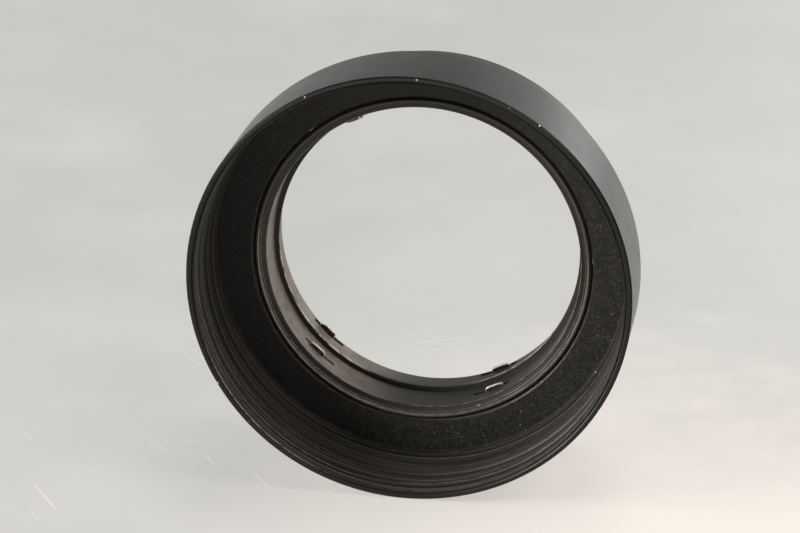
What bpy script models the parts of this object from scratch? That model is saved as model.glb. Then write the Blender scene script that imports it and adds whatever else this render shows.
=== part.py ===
# Clip-on, reversible lens hood with two squeeze buttons.
#
# The hood's axis lies along Y: the wide opening faces -Y, the lens side is +Y, and +Z is up.
# The origin is on the axis, midway between the front rim and the back face.
# Sizes are in millimetres; metres() converts them. Names ending in _R are radii from the axis or
# from a part's own centre line, _D depths behind the front rim, _X distances along a button's axis.
# Angles are in degrees, anticlockwise as seen from the front, from +X.

import math

import bmesh
import bpy
from mathutils import Vector

# ---------------------------------------------------------------- barrel, floor and neck
BARREL_R = 29.0
BARREL_BACK_D = 11.42      # back edge of the barrel's straight outside
SHOULDER_D = 13.00         # end of the shoulder between barrel and neck
RIM_IN_R = 28.50           # inner edge of the flat front lip
GROOVE_D = 0.22            # depth of the fine groove just inside the lip
WALL_FRONT_R = 28.08       # inner wall of the barrel, slightly tapered
WALL_BACK_R = 27.76
WALL_BACK_D = 9.30         # where the wall starts to run out into the floor
FLOOR_R = 27.16            # outer edge of the flat floor
FLOOR_BORE_R = 22.74       # bore in the floor that holds the sleeve
FLOOR_D = 11.60
CHAMBER_FRONT_D = 12.90    # front wall of the clasp chamber
CHAMBER_BACK_D = 22.05     # back end of the neck
CHAMBER_R = 25.00          # inner wall of the neck
NECK_R = 25.80             # outer wall of the neck

# ---------------------------------------------------------------- inner sleeve
COLLAR_R = 21.05           # bore of the collar, for a 42 mm lens front ring
SLEEVE_OUT_R = 21.70
SLEEVE_FLANGE_R = 22.60
SLEEVE_FLANGE_BACK_D = CHAMBER_FRONT_D - 0.10
BEAD_R, BEAD_D = 22.38, 11.76          # rounded front bead
STEP_R, STEP_D = 21.92, 12.08          # step inside the bead, followed by a cone
RIB_FRONT_D, RIB_BACK_D = 17.50, 18.00
RIB_R = 20.35              # inner radius of the stop rib
SLEEVE_BACK_D = 22.40

# ---------------------------------------------------------------- rear cover ring
COVER_FRONT_D, COVER_BACK_D = 22.15, 22.85
COVER_BORE_R = 21.82
COVER_R = 25.70
ORIGIN_D = COVER_BACK_D / 2

# ---------------------------------------------------------------- hooks and their slots
CLASP_ROLL = -8.9          # roll of the clasp about the hood's axis, from upright
HOOK_SPAN = (32.3, 39.6)   # angles a hook spans, from the clasp's own vertical
SLOT_SPAN = (27.5, 42.2)   # angles its slot spans
ROW_DEPTHS = {"front": 14.90, "rear": 21.70}      # middle planes of the two rows of hooks
HOOK_THICK = 0.50
SLOT_WIDTH = 0.70
HOOK_ROOT_R = 23.12        # outer end, inside the arm's strip
HOOK_TIP_R = 20.60         # innermost reach into the collar
HOOK_FAR_RISE, HOOK_FAR_RUN = 0.32, 4.2      # mm and degrees: long end, far from the vertical
HOOK_NEAR_RISE, HOOK_NEAR_RUN = 0.50, 1.5    # mm and degrees: short end, near the vertical
HOOK_END_STEPS = 5

# ---------------------------------------------------------------- clasp arms and pivots
ARM_IN_R, ARM_OUT_R = 22.90, 23.40           # inner and outer face of the strip
STRAP_FRONT_D, STRAP_BACK_D = 16.60, 19.40   # narrow part of the strip
PLATE_FRONT_D, PLATE_BACK_D = 14.60, 21.98   # its wide end, which carries the hooks
ARM_TIP_DEG = 4.6          # arm angles are from the button's axis
PLATE_START_DEG, PLATE_END_DEG = 46.0, 59.0
STRAP_CELLS, PLATE_CELLS = 10, 4             # mesh cells along the two parts
PIVOT_DEG = 27.0
PIVOT_R = 23.15
EYE_R, EYE_HOLE_R = 0.95, 0.50
EYE_FRONT_D = 13.10

SCREW_R = 0.42
SCREW_HEAD_R = 0.85
SCREW_FRONT_D = 12.35      # end of the screw, within the floor's thickness
SCREW_BACK_D = 22.78
SCREW_CONE_D = SCREW_BACK_D - 0.50           # start of the countersunk head
SCREW_EDGE_D = SCREW_BACK_D - 0.06           # start of the head's short straight edge
SCREW_HOLE_GAP = 0.10
COUNTERSINK_GAP = 0.12
DRIVER_SLOT_HALF_WIDTH, DRIVER_SLOT_HALF_LENGTH = 0.11, 1.2
DRIVER_SLOT_DEPTH = 0.28

# ---------------------------------------------------------------- torsion springs
SPRING_R = 0.69            # mean radius of the coil
WIRE_R = 0.12
WIRE_SIDES = 6
SPRING_TURNS = 3
SPRING_TURN_STEPS = 14
SPRING_START_DEG = 11.0    # where the coil starts, from the outward direction
SPRING_FRONT_D, SPRING_PITCH = 19.80, 0.36
SPRING_BACK_D = SPRING_FRONT_D + SPRING_PITCH * SPRING_TURNS
WALL_LEG_R, WALL_LEG_DEG = 24.70, PIVOT_DEG - 8.0      # free end of the leg at the neck's wall
WALL_LEG_OFFSET = 0.12     # how far off the coil's outward direction that leg joins
PLATE_LEG_R, PLATE_LEG_DEG = 23.78, 48.4               # free end of the leg on the arm

# ---------------------------------------------------------------- buttons, shoes and rivets
BUTTON_HALF_WIDTH = 4.50
BUTTON_FRONT_D, BUTTON_BACK_D = 15.45, 20.35
BUTTON_IN_X, BUTTON_OUT_R = 24.25, 27.50
WINDOW_GAP = 0.18
RIDGES = 9
RIDGE_HEIGHT = 0.30
SHOE_IN_X, SHOE_OUT_X = 23.55, 24.05
SHOE_HALF_WIDTH = 5.6
SHOE_FRONT_D, SHOE_BACK_D = 15.0, 20.8
RIVET_R, RIVET_HEAD_R = 0.30, 0.52
RIVET_GAP = 0.10
RIVET_REACH = 1.2          # how far the rivet enters the button
RIVET_DEPTHS = {"front": 16.05, "rear": 19.75}

STEPS = 72                 # facets round the turned pieces
SMALL_STEPS = 16           # facets round screws and rivets
OVERCUT = 0.5              # how far most cutters run past the surface they open
SHARP_DEG = 32.0           # edges steeper than this are shaded sharp

SIGNS = (-1, 1)            # the arm clockwise of its button, then the anticlockwise one
BUTTON_DEG = {"right": CLASP_ROLL, "left": 180.0 + CLASP_ROLL}
CORNERS = {("left", -1): "upper_left", ("left", 1): "lower_left",
           ("right", -1): "lower_right", ("right", 1): "upper_right"}
CENTRE = Vector((0, 0, 0))


# ---------------------------------------------------------------- units and places
def metres(length):
    return length * 0.001


def depth_y(depth):
    return metres(depth - ORIGIN_D)


def polar(radius, deg, depth):
    """Point in metres at a radius, angle and depth."""
    angle = math.radians(deg)
    return Vector((metres(radius) * math.cos(angle), depth_y(depth),
                   metres(radius) * math.sin(angle)))


def pivot_place(sign):
    """Pivot of one arm in its button's frame, at the origin's depth."""
    return polar(PIVOT_R, sign * PIVOT_DEG, ORIGIN_D)


# ---------------------------------------------------------------- scene
for old in list(bpy.data.objects):
    bpy.data.objects.remove(old, do_unlink=True)


def material(name, color, roughness, metallic):
    mat = bpy.data.materials.new(name)
    mat.use_nodes = True
    shader = mat.node_tree.nodes["Principled BSDF"]
    shader.inputs["Base Color"].default_value = (*color, 1.0)
    shader.inputs["Roughness"].default_value = roughness
    shader.inputs["Metallic"].default_value = metallic
    mat.diffuse_color = (*color, 1.0)
    return mat


BLACK_SATIN = material("black_lacquer", color=(0.035, 0.034, 0.032), roughness=0.42, metallic=0.0)
BLACK_MATT = material("black_sleeve", color=(0.045, 0.041, 0.037), roughness=0.50, metallic=0.0)
BLACK_STEEL = material("blackened_steel", color=(0.09, 0.085, 0.08), roughness=0.35, metallic=1.0)
STEEL = material("bright_steel", color=(0.55, 0.54, 0.52), roughness=0.30, metallic=1.0)
BRASS = material("brass", color=(0.70, 0.52, 0.25), roughness=0.35, metallic=1.0)


def frame_empty(name, turn_deg=0.0, parent=None):
    """Empty on the hood's axis whose +X is turned to an angle."""
    frame = bpy.data.objects.new(name, None)
    frame.empty_display_size = 0.005
    frame.rotation_euler = (0.0, -math.radians(turn_deg), 0.0)
    frame.parent = parent
    bpy.context.collection.objects.link(frame)
    return frame


HOOD = frame_empty("hood_axis")


def add(name, shape, mat, origin=CENTRE, parent=HOOD):
    """Make an object from a bmesh built round the parent's origin; its own origin is `origin`."""
    bmesh.ops.recalc_face_normals(shape, faces=shape.faces)
    bmesh.ops.translate(shape, verts=shape.verts, vec=-origin)
    mesh = bpy.data.meshes.new(name)
    shape.to_mesh(mesh)
    shape.free()
    mesh.materials.append(mat)
    mesh.shade_smooth()
    mesh.set_sharp_from_angle(angle=math.radians(SHARP_DEG))
    piece = bpy.data.objects.new(name, mesh)
    piece.location = origin
    piece.parent = parent
    bpy.context.collection.objects.link(piece)
    return piece


def boolean(piece, shape, operation, name, origin=CENTRE, parent=None):
    """Apply a shape to a piece; the shape stays hidden, under the piece's parent by default."""
    tool = add(name, shape, piece.data.materials[0], origin, parent or piece.parent)
    tool.hide_render = True
    tool.display_type = "WIRE"
    modifier = piece.modifiers.new(name, "BOOLEAN")
    modifier.operation = operation
    modifier.object = tool


def cut(piece, shape, name, origin=CENTRE, parent=None):
    boolean(piece, shape, "DIFFERENCE", name, origin, parent)


def join(piece, shape, name, origin):
    boolean(piece, shape, "UNION", name, origin)


# ---------------------------------------------------------------- shape helpers
def circle(radius, steps):
    """(cosine, sine) pairs of a circle, scaled by its radius."""
    angles = [2 * math.pi * i / steps for i in range(steps)]
    return [(radius * math.cos(angle), radius * math.sin(angle)) for angle in angles]


def turned(profile):
    """Closed (radius, depth) outline turned about the hood's axis."""
    shape = bmesh.new()
    verts = [shape.verts.new(polar(radius, 0.0, depth)) for radius, depth in profile]
    edges = [shape.edges.new((verts[i], verts[(i + 1) % len(verts)])) for i in range(len(verts))]
    bmesh.ops.spin(shape, geom=verts + edges, cent=(0, 0, 0), axis=(0, 1, 0),
                   angle=2 * math.pi, steps=STEPS, use_merge=True)
    return shape


def extrude(shape, faces):
    """Extrude faces in place and return the new vertices."""
    result = bmesh.ops.extrude_face_region(shape, geom=faces)
    return [item for item in result["geom"] if isinstance(item, bmesh.types.BMVert)]


def prism(outline, front, back):
    """Outline of (x, z) points, extruded along the hood's axis between two depths."""
    shape = bmesh.new()
    verts = [shape.verts.new((metres(x), depth_y(front), metres(z))) for x, z in outline]
    new_verts = extrude(shape, [shape.faces.new(verts)])
    bmesh.ops.translate(shape, verts=new_verts, vec=(0, metres(back - front), 0))
    return shape


def block(x_range, z_range, front, back):
    (x0, x1), (z0, z1) = x_range, z_range
    return prism([(x0, z0), (x1, z0), (x1, z1), (x0, z1)], front, back)


def rod(centre, radius, front, back, steps):
    """Cylinder along the hood's axis, about a centre given in metres."""
    x, z = centre.x * 1000, centre.z * 1000
    return prism([(x + across, z + up) for across, up in circle(radius, steps)], front, back)


def loft(rings):
    """Closed skin over rings of points with equal counts."""
    shape = bmesh.new()
    rings = [[shape.verts.new(point) for point in ring] for ring in rings]
    for ring, following in zip(rings, rings[1:]):
        for i in range(len(ring)):
            j = (i + 1) % len(ring)
            shape.faces.new((ring[i], ring[j], following[j], following[i]))
    shape.faces.new(rings[0])
    shape.faces.new(rings[-1])
    return shape


def spindle(centre, profile):
    """(radius, depth) points turned about a line along Y through a centre in metres."""
    return loft([[(centre.x + metres(across), depth_y(depth), centre.z + metres(up))
                  for across, up in circle(radius, SMALL_STEPS)] for radius, depth in profile])


def radial_spindle(profile, depth, steps):
    """(radius, x) points turned about a line along X that crosses the hood's axis at a depth."""
    return loft([[(metres(x), metres(depth - ORIGIN_D + along), metres(up))
                  for up, along in circle(radius, steps)] for radius, x in profile])


def wire(path):
    """Spring wire along a list of points, with flat ends."""
    rings = []
    normal = None
    for k, point in enumerate(path):
        tangent = (path[min(k + 1, len(path) - 1)] - path[max(k - 1, 0)]).normalized()
        if normal is None:
            normal = tangent.cross(Vector((0, 1, 0))).normalized()
        normal = (normal - tangent * normal.dot(tangent)).normalized()
        binormal = tangent.cross(normal)
        rings.append([point + metres(WIRE_R) * (normal * cosine + binormal * sine)
                      for cosine, sine in circle(1.0, WIRE_SIDES)])
    return loft(rings)


# ---------------------------------------------------------------- turned pieces
def build_barrel():
    """Barrel, floor and neck in one, with the button windows and blind screw holes."""
    barrel = add("hood_barrel", turned([
        # (radius, depth): front lip and outside of the barrel
        (RIM_IN_R, 0.0), (BARREL_R - 0.10, 0.0), (BARREL_R, 0.12),
        (BARREL_R, BARREL_BACK_D - 0.10), (BARREL_R - 0.10, BARREL_BACK_D),
        # shoulder and neck
        (BARREL_R - 0.45, 12.20), (BARREL_R - 1.05, 12.72), (BARREL_R - 1.90, SHOULDER_D),
        (NECK_R + 0.25, SHOULDER_D), (NECK_R, SHOULDER_D + 0.25), (NECK_R, CHAMBER_BACK_D),
        # chamber, bore and floor
        (CHAMBER_R, CHAMBER_BACK_D), (CHAMBER_R, CHAMBER_FRONT_D),
        (FLOOR_BORE_R, CHAMBER_FRONT_D), (FLOOR_BORE_R, FLOOR_D + 0.18),
        (FLOOR_BORE_R + 0.28, FLOOR_D), (FLOOR_R, FLOOR_D), (FLOOR_R + 0.18, FLOOR_D - 0.50),
        # inner wall and groove
        (WALL_BACK_R, WALL_BACK_D), (WALL_FRONT_R, 0.50),
        (RIM_IN_R - 0.32, 0.10), (RIM_IN_R - 0.16, GROOVE_D)]), BLACK_SATIN)
    half_width = BUTTON_HALF_WIDTH + WINDOW_GAP
    for side, deg in BUTTON_DEG.items():
        frame = frame_empty(f"window_frame_{side}", deg, HOOD)
        window = block((CHAMBER_R - 0.7, NECK_R + 0.6), (-half_width, half_width),
                       BUTTON_FRONT_D - WINDOW_GAP, BUTTON_BACK_D + WINDOW_GAP)
        cut(barrel, window, f"window_{side}", parent=frame)
        for sign, letter in zip(SIGNS, "ab"):
            hole = rod(pivot_place(sign), SCREW_R + SCREW_HOLE_GAP,
                       SCREW_FRONT_D - SCREW_HOLE_GAP, CHAMBER_FRONT_D + OVERCUT, steps=12)
            cut(barrel, hole, f"screw_hole_{side}_{letter}", parent=frame)


def build_sleeve():
    """Inner sleeve with its bead, stop rib and eight hook slots."""
    sleeve = add("inner_sleeve", turned([
        # (radius, depth): front bead
        (SLEEVE_FLANGE_R, BEAD_D + 0.50), (BEAD_R, BEAD_D + 0.42), (BEAD_R, BEAD_D + 0.08),
        (BEAD_R - 0.30, BEAD_D), (BEAD_R - 0.42, BEAD_D + 0.06),
        # step and cone
        (STEP_R, STEP_D), (STEP_R - 0.10, STEP_D + 0.05), (COLLAR_R + 0.25, STEP_D + 0.36),
        (COLLAR_R + 0.06, STEP_D + 0.42), (COLLAR_R, STEP_D + 0.50),
        # stop rib
        (COLLAR_R, RIB_FRONT_D), (RIB_R + 0.06, RIB_FRONT_D), (RIB_R, RIB_FRONT_D + 0.06),
        (RIB_R, RIB_BACK_D - 0.06), (RIB_R + 0.06, RIB_BACK_D), (COLLAR_R, RIB_BACK_D),
        # back edge, outside and flange
        (COLLAR_R, SLEEVE_BACK_D - 0.10), (COLLAR_R + 0.10, SLEEVE_BACK_D),
        (SLEEVE_OUT_R, SLEEVE_BACK_D), (SLEEVE_OUT_R, SLEEVE_FLANGE_BACK_D),
        (SLEEVE_FLANGE_R, SLEEVE_FLANGE_BACK_D)]), BLACK_MATT)
    near, far = SLOT_SPAN
    middle = 90.0 - 0.5 * (near + far)
    half_length = math.radians(0.5 * (far - near)) * COLLAR_R
    for base in (0, 180):
        for sign in SIGNS:
            frame = frame_empty(f"slot_frame_{base}_{sign}", CLASP_ROLL + base + sign * middle,
                                HOOD)
            for row, depth in ROW_DEPTHS.items():
                slot = block((COLLAR_R - 1.2, SLEEVE_OUT_R + OVERCUT),
                             (-half_length, half_length),
                             depth - SLOT_WIDTH / 2, depth + SLOT_WIDTH / 2)
                cut(sleeve, slot, f"slot_{row}_{base}_{sign}", parent=frame)


def build_cover():
    """Ring behind the clasp chamber; each screw cuts its own countersink in it."""
    return add("rear_cover_ring", turned([
        (COVER_BORE_R, COVER_FRONT_D), (COVER_R, COVER_FRONT_D),
        (COVER_R, COVER_BACK_D - 0.15), (COVER_R - 0.15, COVER_BACK_D),
        (COVER_BORE_R + 0.10, COVER_BACK_D), (COVER_BORE_R, COVER_BACK_D - 0.10)]), BLACK_SATIN)


# ---------------------------------------------------------------- clasp
def arm_strip(sign):
    """T-shaped curved strip: a grid of angles and depths, extruded from inner to outer radius."""
    degs = [ARM_TIP_DEG + (PLATE_START_DEG - ARM_TIP_DEG) * i / STRAP_CELLS
            for i in range(STRAP_CELLS + 1)]
    degs += [PLATE_START_DEG + (PLATE_END_DEG - PLATE_START_DEG) * (i + 1) / PLATE_CELLS
             for i in range(PLATE_CELLS)]
    depths = [PLATE_FRONT_D, STRAP_FRONT_D, STRAP_BACK_D, PLATE_BACK_D]
    cells = [(i, 1) for i in range(STRAP_CELLS)]
    cells += [(i, j) for i in range(STRAP_CELLS, STRAP_CELLS + PLATE_CELLS) for j in range(3)]

    shape = bmesh.new()
    grid = {}

    def vert(i, j):
        if (i, j) not in grid:
            grid[(i, j)] = shape.verts.new(polar(ARM_IN_R, sign * degs[i], depths[j]))
        return grid[(i, j)]

    faces = [shape.faces.new((vert(i, j), vert(i + 1, j), vert(i + 1, j + 1), vert(i, j + 1)))
             for i, j in cells]
    for outer in extrude(shape, faces):
        outer.co.x *= ARM_OUT_R / ARM_IN_R
        outer.co.z *= ARM_OUT_R / ARM_IN_R
    return shape


def hook_outline(sign):
    """(x, z) outline of a hook: a long sloping end, then a short rounded one."""
    far, near = 90.0 - HOOK_SPAN[1], 90.0 - HOOK_SPAN[0]
    quarter = [math.radians(90.0 * k / HOOK_END_STEPS) for k in range(HOOK_END_STEPS + 1)]
    points = [(HOOK_ROOT_R, far)]
    points += [(HOOK_TIP_R + HOOK_FAR_RISE * (1 - math.sin(angle)),
                far + HOOK_FAR_RUN * (1 - math.cos(angle))) for angle in quarter]
    points += [(HOOK_TIP_R + HOOK_NEAR_RISE * (1 - math.cos(angle)),
                near - HOOK_NEAR_RUN * (1 - math.sin(angle))) for angle in quarter]
    points.append((HOOK_ROOT_R, near))
    return [(radius * math.cos(math.radians(sign * deg)),
             radius * math.sin(math.radians(sign * deg))) for radius, deg in points]


def build_arm(corner, sign, pivot, frame):
    """Strip with its pivot eye and two hooks that reach in through the sleeve's slots."""
    arm = add(f"clasp_arm_{corner}", arm_strip(sign), BLACK_STEEL, pivot, frame)
    join(arm, rod(pivot, EYE_R, EYE_FRONT_D, STRAP_BACK_D, steps=20), f"eye_{corner}", pivot)
    for row, depth in ROW_DEPTHS.items():
        hook = prism(hook_outline(sign), depth - HOOK_THICK / 2, depth + HOOK_THICK / 2)
        join(arm, hook, f"hook_{row}_{corner}", pivot)
    hole = rod(pivot, EYE_HOLE_R, EYE_FRONT_D - 1, STRAP_BACK_D + 1, steps=16)
    cut(arm, hole, f"eye_hole_{corner}", pivot)


def build_screw(corner, pivot, frame, cover):
    """Pivot screw with a slotted countersunk head, and its clearance in the cover ring."""
    screw = add(f"pivot_screw_{corner}", spindle(pivot, [
        (SCREW_R - 0.10, SCREW_FRONT_D), (SCREW_R, SCREW_FRONT_D + 0.10),
        (SCREW_R, SCREW_CONE_D), (SCREW_HEAD_R, SCREW_EDGE_D),
        (SCREW_HEAD_R, SCREW_BACK_D)]), STEEL, pivot, frame)
    x, z = pivot.x * 1000, pivot.z * 1000
    driver_slot = block((x - DRIVER_SLOT_HALF_WIDTH, x + DRIVER_SLOT_HALF_WIDTH),
                        (z - DRIVER_SLOT_HALF_LENGTH, z + DRIVER_SLOT_HALF_LENGTH),
                        SCREW_BACK_D - DRIVER_SLOT_DEPTH, SCREW_BACK_D + OVERCUT)
    cut(screw, driver_slot, f"driver_slot_{corner}", pivot)

    shank, head = SCREW_R + COUNTERSINK_GAP, SCREW_HEAD_R + COUNTERSINK_GAP
    countersink = spindle(pivot, [
        (shank, COVER_FRONT_D - OVERCUT), (shank, SCREW_CONE_D),
        (head, SCREW_EDGE_D), (head, COVER_BACK_D + OVERCUT)])
    cut(cover, countersink, f"countersink_{corner}", pivot, frame)


def build_spring(corner, sign, pivot, frame):
    """Torsion spring round the screw: one leg at the neck's wall, one on the arm's wide end."""
    angle = math.radians(sign * PIVOT_DEG)
    outward = Vector((math.cos(angle), 0, math.sin(angle)))
    away = Vector((-outward.z, 0, outward.x)) * sign       # away from the button

    def near_pivot(out, aside, depth):
        return (pivot + outward * metres(out) + away * metres(aside)
                + Vector((0, depth_y(depth), 0)))

    wall_end = polar(WALL_LEG_R, sign * WALL_LEG_DEG, SPRING_FRONT_D)
    coil_start = near_pivot(SPRING_R, WALL_LEG_OFFSET, SPRING_FRONT_D)
    path = [wall_end.lerp(coil_start, k / 3.0) for k in range(3)]
    coil_steps = SPRING_TURN_STEPS * SPRING_TURNS
    for k in range(coil_steps + 1):
        angle = math.radians(SPRING_START_DEG + 360.0 * SPRING_TURNS * k / coil_steps)
        path.append(near_pivot(SPRING_R * math.cos(angle), SPRING_R * math.sin(angle),
                               SPRING_FRONT_D + SPRING_PITCH * SPRING_TURNS * k / coil_steps))
    coil_end = path[-1]
    plate_end = polar(PLATE_LEG_R, sign * PLATE_LEG_DEG, SPRING_BACK_D)
    path += [coil_end.lerp(plate_end, k / 4.0) for k in range(1, 5)]
    add(f"arm_spring_{corner}", wire(path), STEEL, pivot, frame)


# ---------------------------------------------------------------- squeeze buttons
def button_outline():
    """(x, z) outline of a button: flat inside, curved and ridged outside."""
    count = RIDGES * 4
    face = []
    for k in range(count + 1):
        z = -BUTTON_HALF_WIDTH + 2 * BUTTON_HALF_WIDTH * k / count
        rise = RIDGE_HEIGHT if k % 4 in (1, 2) else 0.0
        face.append((math.sqrt(BUTTON_OUT_R ** 2 - z * z) - RIDGE_HEIGHT + rise, z))
    return [(BUTTON_IN_X, -BUTTON_HALF_WIDTH)] + face + [(BUTTON_IN_X, BUTTON_HALF_WIDTH)]


def rivet_hole(x_in, x_out, depth):
    radius = RIVET_R + RIVET_GAP
    return radial_spindle([(radius, x_in), (radius, x_out)], depth, steps=12)


def build_button(side, deg):
    """Button, the shoe inside it and the two rivets that join them."""
    frame = frame_empty(f"button_frame_{side}", deg, HOOD)
    origin = Vector((metres(BUTTON_OUT_R), 0, 0))
    button = add(f"button_{side}", prism(button_outline(), BUTTON_FRONT_D, BUTTON_BACK_D),
                 BLACK_SATIN, origin, frame)
    shoe = add(f"button_shoe_{side}",
               block((SHOE_IN_X, SHOE_OUT_X), (-SHOE_HALF_WIDTH, SHOE_HALF_WIDTH),
                     SHOE_FRONT_D, SHOE_BACK_D), BLACK_STEEL, origin, frame)
    for row, depth in RIVET_DEPTHS.items():
        cut(button, rivet_hole(BUTTON_IN_X - OVERCUT, BUTTON_IN_X + RIVET_REACH + RIVET_GAP, depth),
            f"button_hole_{side}_{row}", origin)
        cut(shoe, rivet_hole(SHOE_IN_X - OVERCUT, SHOE_OUT_X + OVERCUT, depth),
            f"shoe_hole_{side}_{row}", origin)
        rivet = radial_spindle([
            (RIVET_HEAD_R * 0.55, SHOE_IN_X - 0.32), (RIVET_HEAD_R, SHOE_IN_X - 0.18),
            (RIVET_HEAD_R, SHOE_IN_X - 0.05), (RIVET_R, SHOE_IN_X - 0.05),
            (RIVET_R, BUTTON_IN_X + RIVET_REACH)], depth, SMALL_STEPS)
        add(f"button_rivet_{side}_{row}", rivet, BRASS, origin, frame)


# ---------------------------------------------------------------- assembly
def build_hood():
    build_barrel()
    build_sleeve()
    cover = build_cover()
    for side, deg in BUTTON_DEG.items():
        for sign in SIGNS:
            corner = CORNERS[(side, sign)]
            frame = frame_empty(f"clasp_frame_{corner}", deg, HOOD)
            pivot = pivot_place(sign)
            build_arm(corner, sign, pivot, frame)
            build_screw(corner, pivot, frame, cover)
            build_spring(corner, sign, pivot, frame)
        build_button(side, deg)


build_hood()
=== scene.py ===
"""A round lens hood with four clasp arms, seen from the front and above on a table.

The hood's axis is Y, with the front rim towards -Y. Hood measures are in mm: radius from the
axis, depth behind the front rim, and angle in degrees from +X towards +Z. +X is right and +Z is
up as seen from the front. The stage, lights and camera are in metres.
"""
import math
from functools import cached_property, reduce

import bmesh
import bpy
from mathutils import Matrix, Vector


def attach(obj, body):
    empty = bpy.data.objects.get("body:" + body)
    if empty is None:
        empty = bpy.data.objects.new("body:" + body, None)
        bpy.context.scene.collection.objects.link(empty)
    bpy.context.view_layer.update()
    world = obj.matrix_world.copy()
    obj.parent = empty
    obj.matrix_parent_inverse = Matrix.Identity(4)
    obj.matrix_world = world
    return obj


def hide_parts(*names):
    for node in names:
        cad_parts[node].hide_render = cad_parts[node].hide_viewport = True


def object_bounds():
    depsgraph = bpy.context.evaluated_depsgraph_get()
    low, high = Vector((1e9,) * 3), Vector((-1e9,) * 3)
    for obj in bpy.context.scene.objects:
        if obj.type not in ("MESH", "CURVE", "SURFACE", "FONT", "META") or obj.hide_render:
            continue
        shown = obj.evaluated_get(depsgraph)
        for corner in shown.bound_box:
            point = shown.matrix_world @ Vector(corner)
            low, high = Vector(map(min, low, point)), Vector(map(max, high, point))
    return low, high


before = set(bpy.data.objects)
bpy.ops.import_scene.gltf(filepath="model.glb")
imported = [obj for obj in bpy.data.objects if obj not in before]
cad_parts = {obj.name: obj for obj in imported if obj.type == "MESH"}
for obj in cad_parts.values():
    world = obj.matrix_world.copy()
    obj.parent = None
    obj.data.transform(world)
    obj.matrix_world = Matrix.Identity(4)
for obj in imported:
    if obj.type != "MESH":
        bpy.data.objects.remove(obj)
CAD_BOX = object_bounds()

# ------------------------------------------------------------------ shared dimensions
FRONT_Y = CAD_BOX[0][1]              # front rim plane, metres
SEGMENTS = 288                       # round every turned piece
ARC_STEPS = 4                        # along a small fillet

RIGHT_SIDE = -8.9                    # angle of the right button; the hood is rolled a little
LEFT_SIDE = 180.0 + RIGHT_SIDE
SIDES = (RIGHT_SIDE, LEFT_SIDE)
SIGNS = (-1, 1)                      # the two ways round from a side

RIM_RADIUS = 29.0
WALL_FRONT = (28.08, 0.50)           # ends of the grooved inside wall: radius, depth
WALL_REAR = (27.76, 9.30)
FLOOR_DEPTH = 11.60
NECK_OUTER, NECK_INNER = 25.80, 25.00
COLLAR_RADIUS = 21.05
COVER_FRONT, COVER_REAR = 22.15, 22.85
PIVOT_RADIUS = 23.15
PIVOT_ANGLE = 27.0                   # either way from a side
HOOK_DEPTHS = (14.90, 21.70)         # mid-planes of the front and rear hooks


def mm(value):
    return value * 0.001


def polar(radius, angle, depth):
    """Scene point, in metres."""
    turn = math.radians(angle)
    return Vector((mm(radius) * math.cos(turn), FRONT_Y + mm(depth), mm(radius) * math.sin(turn)))


# ------------------------------------------------------------------ outlines
def fillet(points):
    """Round the corners of a closed outline of (radius, depth, finish, fillet radius) points.

    A finish belongs to the side that starts at its point.
    """
    rounded = []
    for index, (x, depth, finish, radius) in enumerate(points):
        before = points[index - 1]
        after = points[(index + 1) % len(points)]
        back = Vector((before[0] - x, before[1] - depth))
        ahead = Vector((after[0] - x, after[1] - depth))
        back_length, ahead_length = back.length, ahead.length
        back.normalize()
        ahead.normalize()
        angle = back.angle(ahead)
        if radius <= 0 or angle > math.radians(176):
            rounded.append((x, depth, finish))
            continue
        cut = min(radius / math.tan(angle / 2), 0.45 * back_length, 0.45 * ahead_length)
        fitted = cut * math.tan(angle / 2)
        corner = Vector((x, depth))
        centre = corner + (back + ahead).normalized() * (fitted / math.sin(angle / 2))
        start = corner + back * cut - centre
        end = corner + ahead * cut - centre
        sweep = -start.angle_signed(end)
        steps = ARC_STEPS if radius < 0.5 else ARC_STEPS * 2
        for k in range(steps + 1):
            turn = sweep * k / steps
            cos, sin = math.cos(turn), math.sin(turn)
            rounded.append((centre.x + start.x * cos - start.y * sin,
                            centre.y + start.x * sin + start.y * cos,
                            before[2] if k < steps / 2 else finish))
    return rounded


def grooved_wall(grooves):
    """Outline points of the turned grooves, listed from the rear of the wall to its front."""
    front = Vector(WALL_FRONT)
    run = (WALL_REAR[0] - WALL_FRONT[0], WALL_REAR[1] - WALL_FRONT[1])
    length = math.hypot(*run)
    along = Vector((run[0] / length, run[1] / length))
    outward = Vector((abs(along.y), 0.0))
    points = []
    for distance, half_width, groove_depth in grooves:
        for side, sunk in ((-1.0, 0.0), (-0.35, 1.0), (0.35, 1.0), (1.0, 0.0)):
            point = (front + along * (distance + half_width * side)
                     + outward * (groove_depth * sunk))
            points.append((point.x, point.y, "wall", 0))
    return points[::-1]


def rounded_rect(half_width, near, far, radius, steps):
    """(across, depth) points, from the far corner on the positive side."""
    points = []
    right, left = half_width - radius, -half_width + radius
    for x, z, start in ((right, far - radius, 0), (left, far - radius, 90),
                        (left, near + radius, 180), (right, near + radius, 270)):
        for k in range(steps + 1):
            turn = math.radians(start + 90.0 * k / steps)
            points.append((x + radius * math.cos(turn), z + radius * math.sin(turn)))
    return points


def offset_outline(points, distance):
    """Move a closed (x, z) outline inward."""
    count = len(points)
    following = points[1:] + points[:1]
    area = sum(p[0] * q[1] - q[0] * p[1] for p, q in zip(points, following))
    winding = 1.0 if area > 0 else -1.0
    moved = []
    for i, (x, z) in enumerate(points):
        arriving = (Vector(points[i]) - Vector(points[i - 1])).normalized()
        leaving = (Vector(points[(i + 1) % count]) - Vector(points[i])).normalized()
        tangent = (arriving + leaving).normalized()
        stretch = 1.0 / max(0.5, tangent.dot(arriving))
        moved.append((x - tangent.y * winding * distance * stretch,
                      z + tangent.x * winding * distance * stretch))
    return moved


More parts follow.
